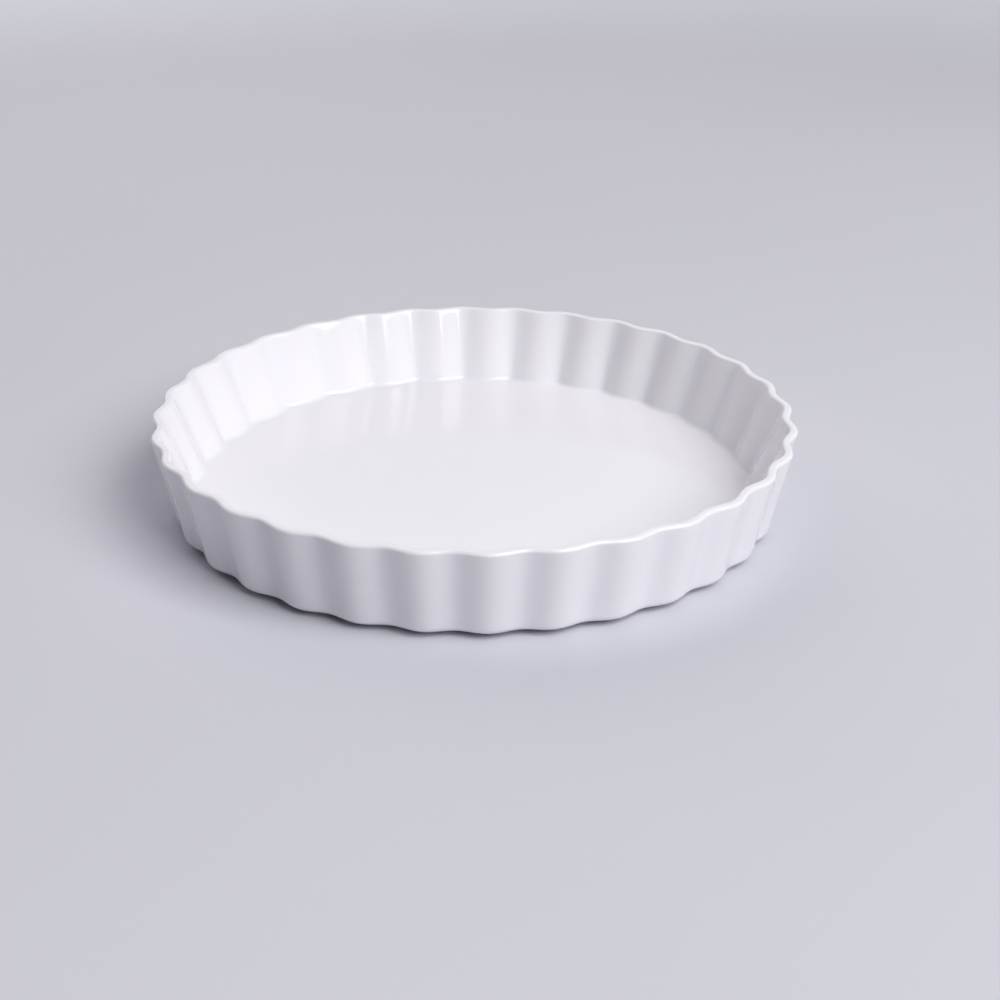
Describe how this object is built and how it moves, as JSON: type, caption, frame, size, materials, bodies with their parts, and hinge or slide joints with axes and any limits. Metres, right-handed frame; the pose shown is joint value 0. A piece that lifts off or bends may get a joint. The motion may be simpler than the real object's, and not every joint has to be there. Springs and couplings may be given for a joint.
{
  "type": "pie plate",
  "caption": "Round white porcelain pie dish with an upright fluted wall, a flat floor and a bare foot ring, for baking and serving a pie, quiche or flan.",
  "frame": {"origin": "on the dish's axis at the level of the surface that it stands on", "axes": "+Z is the dish's axis, pointing up out of its mouth, and +X runs through a flute crest"},
  "size_m": [0.265, 0.265, 0.039],
  "materials": {
    "bisque": "fired, unglazed and matt, bare only on the foot ring",
    "white_glaze": "smooth, glossy white glaze",
    "underside_white_glaze": "smooth, glossy white glaze"
  },
  "bodies": {
    "root": {"porcelain_body": "bisque", "glaze_coat": "white_glaze", "underside_glaze": "underside_white_glaze"}
  },
  "joints": []
}
